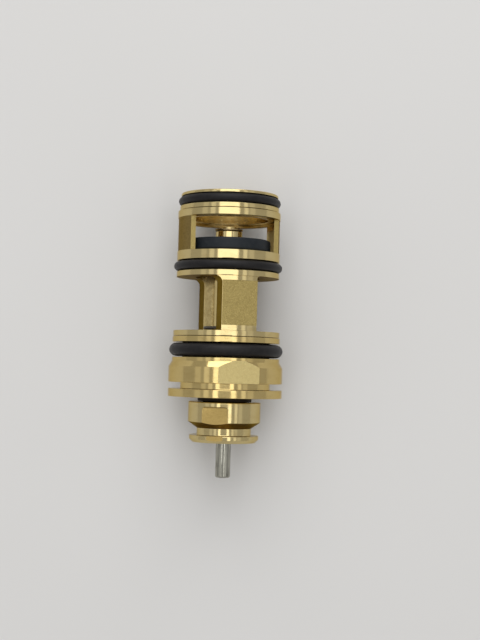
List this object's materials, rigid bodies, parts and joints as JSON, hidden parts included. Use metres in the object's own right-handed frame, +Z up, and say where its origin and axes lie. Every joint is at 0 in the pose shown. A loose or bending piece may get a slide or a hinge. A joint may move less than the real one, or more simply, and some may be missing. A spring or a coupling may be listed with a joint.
{
  "type": "diverter valve",
  "caption": "Brass diverter valve cartridge: a spring-returned pin shuttles a rubber disc between seats, with O-ring lands, open windows, spanner flats and a clip groove.",
  "frame": {"origin": "on the surface that the valve lies on, below the middle of its length", "axes": "+Y along the valve's axis to its open port, +Z up, the steel pin points to -Y"},
  "size_m": [0.0226, 0.0564, 0.0226],
  "materials": {
    "cage_body": "turned, fine lathe rings, milled flats",
    "head_body": "turned, fine lathe rings, grainy spanner flats",
    "end_seat_ring": "turned",
    "gland_nut": "turned, grainy spanner flats",
    "end_o_ring": "moulded, satin black",
    "middle_o_ring": "moulded, satin black",
    "head_o_ring": "moulded, satin black",
    "gland_face_seal": "matte",
    "gland_washer": "turned",
    "seal_spacer": "turned dark polymer",
    "upper_pin_seal": "moulded",
    "lower_pin_seal": "moulded",
    "stem_guide_bush": "turned dark polymer",
    "spring_seat_washer": "stamped",
    "return_spring": "drawn wire",
    "stem": "turned",
    "actuator_pin": "ground, bright",
    "disc_backing_washer": "turned",
    "seal_disc": "moulded, blue-black",
    "disc_hub": "turned",
    "stem_retaining_clip": "stamped",
    "spring_collar": "turned",
    "pin_circlip": "stamped"
  },
  "bodies": {
    "cartridge": {"cage_body": "cage_body", "head_body": "head_body", "end_seat_ring": "end_seat_ring", "gland_nut": "gland_nut", "end_o_ring": "end_o_ring", "middle_o_ring": "middle_o_ring", "head_o_ring": "head_o_ring", "gland_face_seal": "gland_face_seal", "gland_washer": "gland_washer", "seal_spacer": "seal_spacer", "upper_pin_seal": "upper_pin_seal", "lower_pin_seal": "lower_pin_seal", "stem_guide_bush": "stem_guide_bush", "spring_seat_washer": "spring_seat_washer", "return_spring": "return_spring"},
    "spindle": {"stem": "stem", "actuator_pin": "actuator_pin", "disc_backing_washer": "disc_backing_washer", "seal_disc": "seal_disc", "disc_hub": "disc_hub", "stem_retaining_clip": "stem_retaining_clip", "spring_collar": "spring_collar", "pin_circlip": "pin_circlip"}
  },
  "joints": [
    {"name": "spindle_slide", "type": "slide", "parent": "cartridge", "child": "spindle", "axis": [0, 1, 0], "range_m": [0, 0.0038], "stiffness_N_per_m": 800, "springref_m": -0.003, "deforming": ["return_spring"]}
  ]
}
